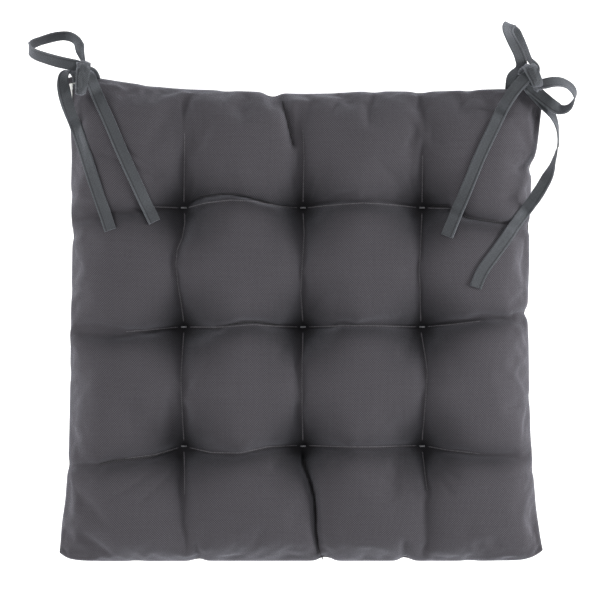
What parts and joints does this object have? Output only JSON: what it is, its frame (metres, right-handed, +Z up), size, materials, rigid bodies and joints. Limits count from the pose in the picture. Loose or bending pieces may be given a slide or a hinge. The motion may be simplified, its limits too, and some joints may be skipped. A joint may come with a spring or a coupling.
{
  "type": "chair seat pad",
  "caption": "Square tufted chair seat pad of dark canvas with fibre filling and tie tapes knotted in bows at the two rear corners.",
  "frame": {"origin": "centre of the flat underside that rests on the chair", "axes": "+Z up through the pad's thickness, +Y towards the rear edge with the ties, +X to the right seen from above"},
  "size_m": [0.4583, 0.4555, 0.0698],
  "materials": {
    "cover_canvas": "matt plain-weave canvas, dark anthracite",
    "fibre_filling": "loose white polyester fibre",
    "seam_thread": "fine spun sewing thread, anthracite",
    "tuft_thread": "thick twisted thread, mid grey",
    "tie_tape": "folded canvas tape, anthracite, edge stitched"
  },
  "bodies": {
    "root": {"top_panel": "cover_canvas", "bottom_panel": "cover_canvas", "fibre_filling": "fibre_filling", "edge_seam_thread": "seam_thread", "closing_stitch_thread": "seam_thread", "bartack_left_outer": "seam_thread", "bartack_left_inner": "seam_thread", "bartack_right_outer": "seam_thread", "bartack_right_inner": "seam_thread", "tuft_thread_front_left": "tuft_thread", "tuft_thread_front_centre": "tuft_thread", "tuft_thread_front_right": "tuft_thread", "tuft_thread_middle_left": "tuft_thread", "tuft_thread_middle_centre": "tuft_thread", "tuft_thread_middle_right": "tuft_thread", "tuft_thread_rear_left": "tuft_thread", "tuft_thread_rear_centre": "tuft_thread", "tuft_thread_rear_right": "tuft_thread", "tie_left_outer": "tie_tape", "tie_left_inner": "tie_tape", "tie_right_inner": "tie_tape", "tie_right_outer": "tie_tape"}
  },
  "joints": []
}
